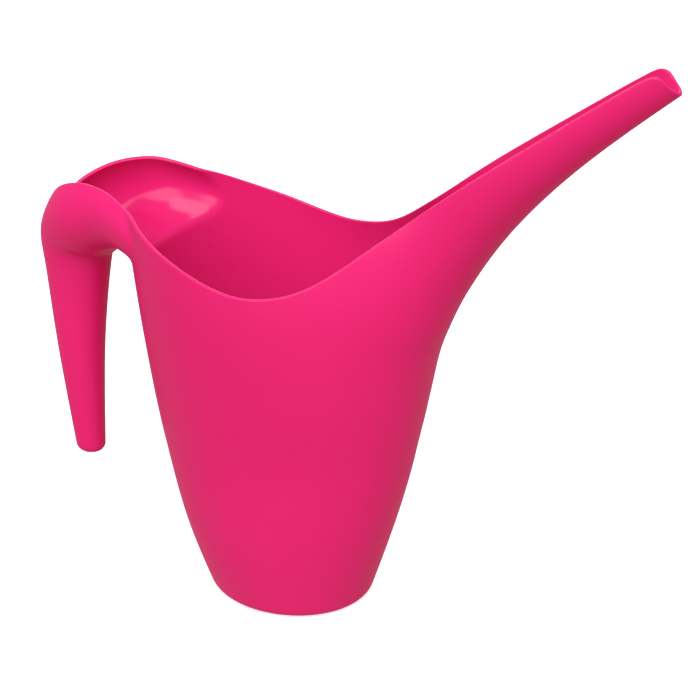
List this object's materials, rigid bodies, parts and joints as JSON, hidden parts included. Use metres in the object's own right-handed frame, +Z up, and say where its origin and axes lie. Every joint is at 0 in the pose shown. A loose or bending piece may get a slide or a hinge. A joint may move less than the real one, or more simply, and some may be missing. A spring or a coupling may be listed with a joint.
{
  "type": "watering can",
  "caption": "Open-topped moulded watering can: oval tapered vessel flowing into an open channel spout, with an arched handle over a finger gap ending in a hanging grip.",
  "frame": {"origin": "middle of the flat underside the can stands on", "axes": "+Z up, +X toward the spout, so the handle is at -X; the can is mirror symmetric about the XZ plane"},
  "size_m": [0.298, 0.1204, 0.267],
  "materials": {
    "pink_plastic": "satin outside, glossier inside"
  },
  "bodies": {
    "root": {"base": "pink_plastic", "vessel": "pink_plastic", "spout": "pink_plastic", "handle_bridge": "pink_plastic", "handle_grip": "pink_plastic"}
  },
  "joints": []
}
